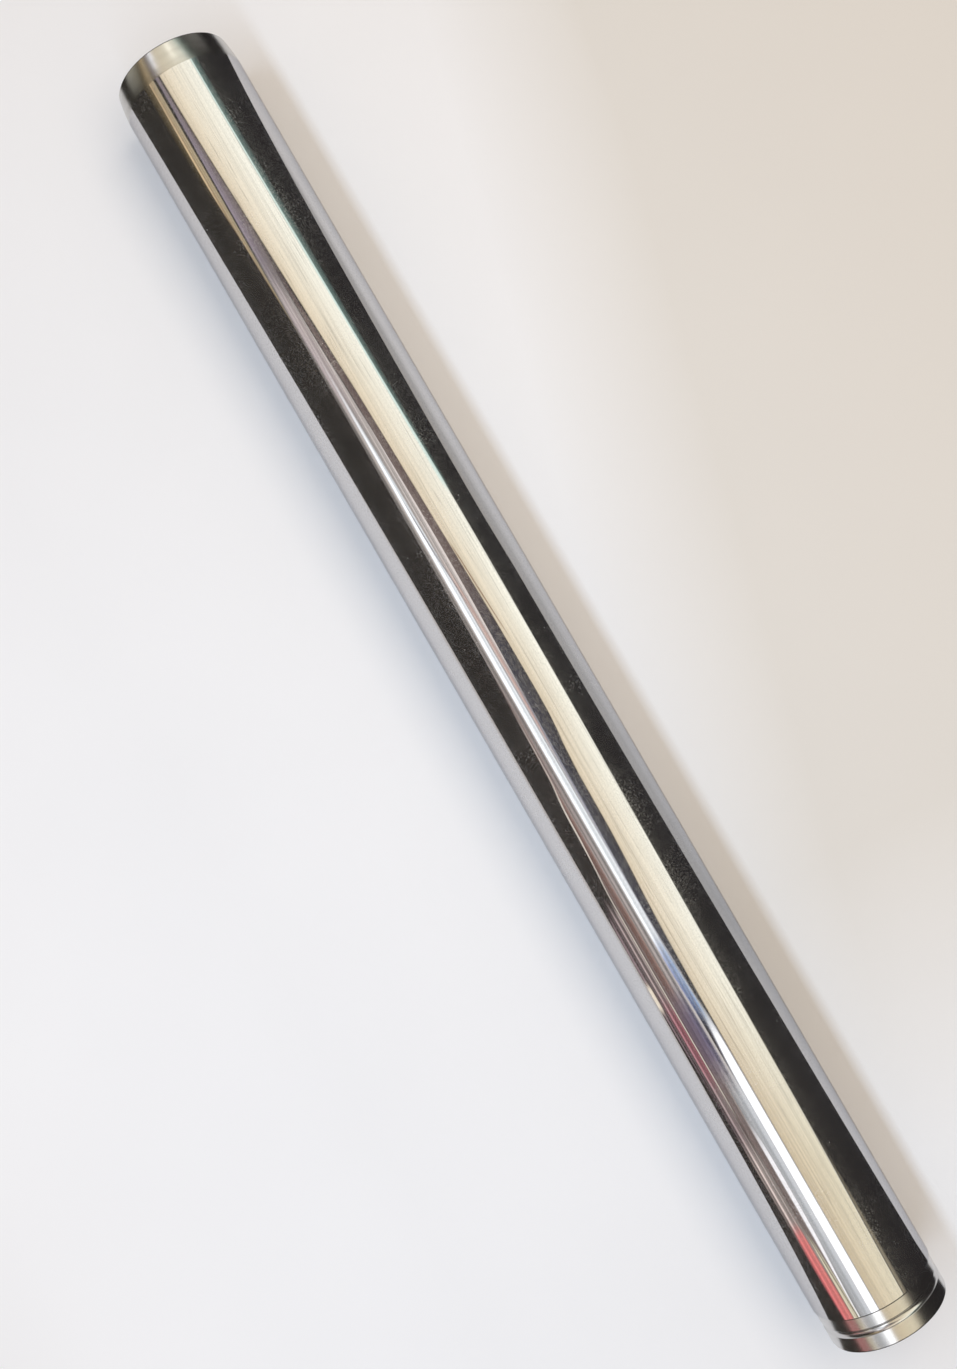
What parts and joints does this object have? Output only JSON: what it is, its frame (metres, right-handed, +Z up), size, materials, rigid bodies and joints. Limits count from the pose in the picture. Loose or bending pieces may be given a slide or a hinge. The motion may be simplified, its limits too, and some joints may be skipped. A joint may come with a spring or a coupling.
{
  "type": "fork tube",
  "caption": "Hard-chromed steel fork tube with a crowned lead-in at its lower end, and a bare neck with a clip groove and a threaded mouth for the fork cap at its top end.",
  "frame": {"origin": "on the ground, under the middle of the tube's length", "axes": "+X along the tube towards its top end, +Z up, +Y across the tube"},
  "size_m": [0.456, 0.041, 0.041],
  "materials": {
    "hard_chrome": "ground and hard chromed, mirror bright, with bare turned steel at both ends"
  },
  "bodies": {
    "root": {"fork_tube": "hard_chrome"}
  },
  "joints": []
}
